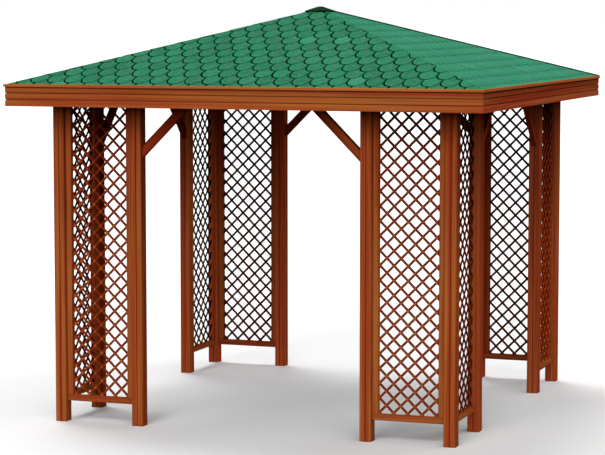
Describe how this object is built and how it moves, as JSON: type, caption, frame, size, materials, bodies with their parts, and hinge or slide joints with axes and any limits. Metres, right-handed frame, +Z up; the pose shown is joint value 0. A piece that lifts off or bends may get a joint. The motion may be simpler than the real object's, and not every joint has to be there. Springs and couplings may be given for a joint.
{
  "type": "garden gazebo",
  "caption": "Square open timber garden gazebo with grooved corner posts, lattice corner screens, braced doorways on all sides and a low pyramid roof of rounded shingles.",
  "frame": {"origin": "middle of the footprint at ground level, under the roof's apex", "axes": "+Z up; the front side faces -Y, and +X is the right side seen from the front"},
  "size_m": [3.716, 3.716, 3.157],
  "materials": {
    "frame_timber": "reddish brown translucent stain, satin",
    "lattice_timber": "reddish brown translucent stain, satin",
    "roof_timber": "reddish brown translucent stain, satin",
    "trim": "orange brown translucent stain, satin",
    "shingles": "green mineral granules on bitumen, matt",
    "cap": "dark green paint, satin"
  },
  "bodies": {
    "root": {"back_braces": "frame_timber", "back_doorway_left_post": "frame_timber", "back_doorway_right_post": "frame_timber", "back_fascia": "frame_timber", "back_left_corner_post": "frame_timber", "back_left_lattice": "lattice_timber", "back_right_corner_post": "frame_timber", "back_right_lattice": "lattice_timber", "back_roof_deck": "roof_timber", "back_shingles": "shingles", "back_top_plate": "frame_timber", "eave_strips": "trim", "front_braces": "frame_timber", "front_doorway_left_post": "frame_timber", "front_doorway_right_post": "frame_timber", "front_fascia": "frame_timber", "front_left_corner_post": "frame_timber", "front_left_lattice": "lattice_timber", "front_right_corner_post": "frame_timber", "front_right_lattice": "lattice_timber", "front_roof_deck": "roof_timber", "front_shingles": "shingles", "front_top_plate": "frame_timber", "hip_rafters": "roof_timber", "jack_rafters": "roof_timber", "king_post": "roof_timber", "left_back_lattice": "lattice_timber", "left_braces": "frame_timber", "left_doorway_back_post": "frame_timber", "left_doorway_front_post": "frame_timber", "left_fascia": "frame_timber", "left_front_lattice": "lattice_timber", "left_roof_deck": "roof_timber", "left_shingles": "shingles", "left_top_plate": "frame_timber", "right_back_lattice": "lattice_timber", "right_braces": "frame_timber", "right_doorway_back_post": "frame_timber", "right_doorway_front_post": "frame_timber", "right_fascia": "frame_timber", "right_front_lattice": "lattice_timber", "right_roof_deck": "roof_timber", "right_shingles": "shingles", "right_top_plate": "frame_timber", "roof_cap": "cap"}
  },
  "joints": []
}
